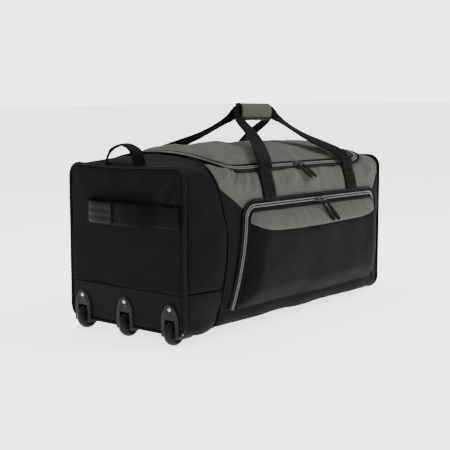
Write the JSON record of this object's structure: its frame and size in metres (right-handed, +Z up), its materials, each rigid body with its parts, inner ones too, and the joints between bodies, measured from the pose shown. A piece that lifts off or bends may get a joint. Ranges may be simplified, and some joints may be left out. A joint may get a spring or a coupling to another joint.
{
  "type": "rolling duffel bag",
  "caption": "Soft box-shaped travel duffel with a U-zipped lid, zipped front pocket, joined carry straps, end handles and wheels let into one end.",
  "frame": {"origin": "on the floor under the middle of the bounding box, with the bag standing on its wheels and its far bottom edge", "axes": "+Z up, +X from the wheel end to the far end, -Y towards the front pocket; the body leans down 1.6 degrees towards +X"},
  "size_m": [0.824, 0.4344, 0.4979],
  "materials": {
    "black_cloth": "woven polyester, coated",
    "grey_cloth": "woven polyester, coated",
    "wear_cloth": "heavy coated cloth",
    "webbing": "woven webbing",
    "piping": "cloth-covered cord",
    "zip_tape": "coil zip with its tape",
    "board": "sheet plastic",
    "housing": "moulded, satin",
    "tyre": "moulded, satin",
    "hub": "moulded",
    "steel": "plated",
    "slider": "black enamel",
    "pull": "moulded over cord"
  },
  "bodies": {
    "shell": {"wheel_end_panel": "black_cloth", "wheel_end_wear_panel": "wear_cloth", "wheel_end_board": "board", "wheel_end_piping": "piping", "housing_front": "housing", "axle_front": "steel", "rivet_front": "steel", "housing_middle": "housing", "axle_middle": "steel", "rivet_middle": "steel", "housing_rear": "housing", "axle_rear": "steel", "rivet_rear": "steel", "far_end_panel": "black_cloth", "far_end_piping": "piping", "base_panel": "wear_cloth", "base_board": "board", "wear_band_front": "wear_cloth", "wear_band_rear": "wear_cloth", "wheel_end_gusset": "black_cloth", "front_panel": "black_cloth", "rear_panel": "black_cloth", "front_yoke": "grey_cloth", "rear_yoke": "grey_cloth", "far_top_panel": "grey_cloth", "gusset_piping": "piping", "main_zip_body_row": "zip_tape", "pocket_zip_body_row": "zip_tape", "strap_tab_front_left": "webbing", "strap_tab_rear_left": "webbing", "strap_tab_front_right": "webbing", "strap_tab_rear_right": "webbing", "end_handle": "webbing", "end_handle_pad": "grey_cloth", "pull_handle": "webbing"},
    "lid": {"lid_panel": "grey_cloth", "main_zip_lid_row": "zip_tape"},
    "pocket_flap": {"pocket_panel": "black_cloth", "pocket_zip_flap_row": "zip_tape"},
    "front_strap": {"front_strap": "webbing"},
    "rear_strap": {"rear_strap": "webbing", "grip_wrap_base": "grey_cloth"},
    "wrap_flap": {"grip_wrap_flap": "grey_cloth"},
    "top_loop": {"top_loop": "webbing"},
    "main_slider_left": {"main_slider_left": "slider"},
    "main_slider_right": {"main_slider_right": "slider"},
    "main_pull_left": {"main_pull_left": "pull"},
    "main_pull_right": {"main_pull_right": "pull"},
    "pocket_slider_left": {"pocket_slider_left": "slider"},
    "pocket_slider_right": {"pocket_slider_right": "slider"},
    "pocket_pull_left": {"pocket_pull_left": "pull"},
    "pocket_pull_right": {"pocket_pull_right": "pull"},
    "wheel_front": {"tyre_front": "tyre", "hub_front": "hub"},
    "wheel_middle": {"tyre_middle": "tyre", "hub_middle": "hub"},
    "wheel_rear": {"tyre_rear": "tyre", "hub_rear": "hub"}
  },
  "joints": [
    {"name": "lid_open", "type": "hinge", "parent": "shell", "child": "lid", "pos_m": [0.00437, 0.18214, 0.35224], "axis": [-0.9996, 0, 0.0286], "range_deg": [0, 100]},
    {"name": "front_strap_swing", "type": "hinge", "parent": "shell", "child": "front_strap", "pos_m": [0.05409, -0.16174, 0.34174], "axis": [0.9996, 0, -0.0286], "range_deg": [0, 100], "deforming": ["front_strap"]},
    {"name": "rear_strap_swing", "type": "hinge", "parent": "shell", "child": "rear_strap", "pos_m": [0.05409, 0.19202, 0.34174], "axis": [-0.9996, 0, 0.0286], "range_deg": [0, 100]},
    {"name": "wrap_open", "type": "hinge", "parent": "rear_strap", "child": "wrap_flap", "pos_m": [0.07651, 0.02514, 0.49624], "axis": [-0.9996, 0, 0.0286], "range_deg": [0, 150]},
    {"name": "pocket_open", "type": "hinge", "parent": "shell", "child": "pocket_flap", "pos_m": [-0.00424, -0.17001, 0.05076], "axis": [0.9996, 0, -0.0286], "range_deg": [0, 90]},
    {"name": "main_slider_left_slide", "type": "slide", "parent": "shell", "child": "main_slider_left", "axis": [0.9996, 0, -0.0286], "range_m": [-0.185, 0]},
    {"name": "main_slider_right_slide", "type": "slide", "parent": "shell", "child": "main_slider_right", "axis": [0.9996, 0, -0.0286], "range_m": [0, 0.205]},
    {"name": "pocket_slider_left_slide", "type": "slide", "parent": "pocket_flap", "child": "pocket_slider_left", "axis": [0.9996, 0, -0.0286], "range_m": [-0.22, 0]},
    {"name": "pocket_slider_right_slide", "type": "slide", "parent": "pocket_flap", "child": "pocket_slider_right", "axis": [0.9996, 0, -0.0286], "range_m": [0, 0.195]},
    {"name": "main_pull_left_swing", "type": "hinge", "parent": "main_slider_left", "child": "main_pull_left", "pos_m": [0.01358, -0.1579, 0.35934], "axis": [-0.7384, -0.3497, -0.5766], "range_deg": [0, 110]},
    {"name": "main_pull_right_swing", "type": "hinge", "parent": "main_slider_right", "child": "main_pull_right", "pos_m": [0.03357, -0.1579, 0.35877], "axis": [-0.7384, -0.3497, -0.5766], "range_deg": [0, 110]},
    {"name": "pocket_pull_left_swing", "type": "hinge", "parent": "pocket_slider_left", "child": "pocket_pull_left", "pos_m": [0.06001, -0.19529, 0.26865], "axis": [-0.871, -0.0262, -0.4907], "range_deg": [0, 110]},
    {"name": "pocket_pull_right_swing", "type": "hinge", "parent": "pocket_slider_right", "child": "pocket_pull_right", "pos_m": [0.081, -0.19529, 0.26805], "axis": [-0.871, -0.0262, -0.4907], "range_deg": [0, 110]},
    {"name": "top_loop_swing", "type": "hinge", "parent": "shell", "child": "top_loop", "pos_m": [-0.3699, 0.02714, 0.38294], "axis": [0, 1, 0], "range_deg": [-90, 45]},
    {"name": "wheel_front_spin", "type": "hinge", "parent": "shell", "child": "wheel_front", "pos_m": [-0.37704, -0.11886, 0.028], "axis": [0, 1, 0], "continuous": true},
    {"name": "wheel_middle_spin", "type": "hinge", "parent": "shell", "child": "wheel_middle", "pos_m": [-0.37704, 0.01514, 0.028], "axis": [0, 1, 0], "continuous": true},
    {"name": "wheel_rear_spin", "type": "hinge", "parent": "shell", "child": "wheel_rear", "pos_m": [-0.37704, 0.14914, 0.028], "axis": [0, 1, 0], "continuous": true}
  ],
  "couplings": [
    {"joint": "front_strap_swing", "follows": "lid_open", "ratio": 1},
    {"joint": "rear_strap_swing", "follows": "lid_open", "ratio": 1}
  ]
}
